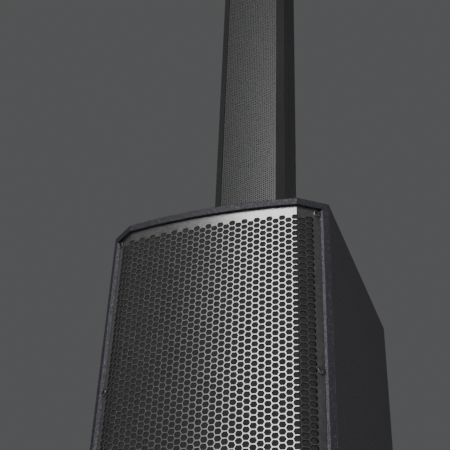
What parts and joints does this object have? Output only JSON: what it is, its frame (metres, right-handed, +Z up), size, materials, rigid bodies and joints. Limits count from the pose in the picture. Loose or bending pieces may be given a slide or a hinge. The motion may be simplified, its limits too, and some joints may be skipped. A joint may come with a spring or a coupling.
{
  "type": "column pa system",
  "caption": "Portable column loudspeaker: a tall bass cabinet with a bowed perforated steel grille carries slim stacked column sections with fine perforated fronts.",
  "frame": {"origin": "on the floor, under the middle of the outer box", "axes": "+Z up along the column, the grilles face -Y, +X to the right for someone who looks along +Y at the grilles"},
  "size_m": [0.342, 0.472, 2.177],
  "materials": {
    "cabinet_paint": "textured paint on plywood",
    "baffle_black": "black paint on plywood",
    "port_plastic": "matte",
    "grille_steel": "satin gunmetal",
    "column_steel": "satin dark grey",
    "foam": "open-cell foam",
    "dark_screw": "blackened",
    "cast_basket": "black",
    "magnet_steel": "zinc",
    "paper_cone": "treated paper",
    "roll_rubber": "matte",
    "handle_plastic": "grained",
    "plate_metal": "powder coat",
    "cooler": "black anodised",
    "board_green": "circuit board",
    "supply": "sheet metal",
    "black_plastic": "satin",
    "display_glass": "gloss",
    "column_shell": "dark powder coat",
    "column_ends": "satin",
    "driver_frame": "satin"
  },
  "bodies": {
    "cabinet": {"amp_board": "board_green", "amp_heatsink": "cooler", "amp_plate": "plate_metal", "amp_screws": "dark_screw", "back_panel": "cabinet_paint", "baffle": "baffle_black", "bottom_panel": "cabinet_paint", "brace": "baffle_black", "column_socket": "column_ends", "display_window": "display_glass", "grille_foam": "foam", "grille_screws": "dark_screw", "left_handle": "handle_plastic", "left_panel": "cabinet_paint", "line_jacks": "black_plastic", "lower_woofer_basket": "cast_basket", "lower_woofer_magnet": "magnet_steel", "lower_woofer_surround": "roll_rubber", "mains_inlet": "black_plastic", "port_left": "port_plastic", "port_right": "port_plastic", "power_supply": "supply", "right_handle": "handle_plastic", "right_panel": "cabinet_paint", "rubber_feet": "roll_rubber", "sub_grille": "grille_steel", "switch_frame": "black_plastic", "top_panel": "cabinet_paint", "upper_woofer_basket": "cast_basket", "upper_woofer_magnet": "magnet_steel", "upper_woofer_surround": "roll_rubber"},
    "lower_column": {"lower_column_baffle": "baffle_black", "lower_column_driver_1": "driver_frame", "lower_column_driver_2": "driver_frame", "lower_column_driver_3": "driver_frame", "lower_column_driver_4": "driver_frame", "lower_column_driver_5": "driver_frame", "lower_column_foam": "foam", "lower_column_grille": "column_steel", "lower_column_housing": "column_shell", "lower_column_socket": "column_ends", "lower_column_spigot": "column_ends"},
    "upper_column": {"upper_column_baffle": "baffle_black", "upper_column_cap": "column_ends", "upper_column_driver_1": "driver_frame", "upper_column_driver_2": "driver_frame", "upper_column_driver_3": "driver_frame", "upper_column_driver_4": "driver_frame", "upper_column_driver_5": "driver_frame", "upper_column_foam": "foam", "upper_column_grille": "column_steel", "upper_column_housing": "column_shell", "upper_column_spigot": "column_ends"},
    "upper_woofer_cone": {"upper_woofer_cone": "paper_cone"},
    "lower_woofer_cone": {"lower_woofer_cone": "paper_cone"},
    "power_rocker": {"power_rocker": "black_plastic"},
    "level_knob_1": {"level_knob_1": "black_plastic"},
    "level_knob_2": {"level_knob_2": "black_plastic"},
    "menu_encoder": {"menu_encoder": "black_plastic"},
    "pairing_button": {"pairing_button": "black_plastic"}
  },
  "joints": [
    {"name": "lower_column_lift", "type": "slide", "parent": "cabinet", "child": "lower_column", "axis": [0, 0, 1], "range_m": [0, 0.08]},
    {"name": "upper_column_lift", "type": "slide", "parent": "lower_column", "child": "upper_column", "axis": [0, 0, 1], "range_m": [0, 0.08]},
    {"name": "upper_woofer_throw", "type": "slide", "parent": "cabinet", "child": "upper_woofer_cone", "axis": [0, -1, 0], "range_m": [-0.005, 0.005], "stiffness_N_per_m": 3500},
    {"name": "lower_woofer_throw", "type": "slide", "parent": "cabinet", "child": "lower_woofer_cone", "axis": [0, -1, 0], "range_m": [-0.005, 0.005], "stiffness_N_per_m": 3500},
    {"name": "power_rocker_tip", "type": "hinge", "parent": "cabinet", "child": "power_rocker", "pos_m": [-0.018, 0.215, 0.408], "axis": [1, 0, 0], "range_deg": [0, 18]},
    {"name": "level_knob_1_turn", "type": "hinge", "parent": "cabinet", "child": "level_knob_1", "pos_m": [0.082, 0.221, 0.534], "axis": [0, 1, 0], "range_deg": [-150, 150]},
    {"name": "level_knob_2_turn", "type": "hinge", "parent": "cabinet", "child": "level_knob_2", "pos_m": [0.041, 0.221, 0.534], "axis": [0, 1, 0], "range_deg": [-150, 150]},
    {"name": "menu_encoder_turn", "type": "hinge", "parent": "cabinet", "child": "menu_encoder", "pos_m": [-0.076, 0.221, 0.534], "axis": [0, 1, 0], "continuous": true},
    {"name": "pairing_button_push", "type": "slide", "parent": "cabinet", "child": "pairing_button", "axis": [0, -1, 0], "range_m": [0, 0.0012], "stiffness_N_per_m": 600, "springref_m": -0.0006}
  ]
}
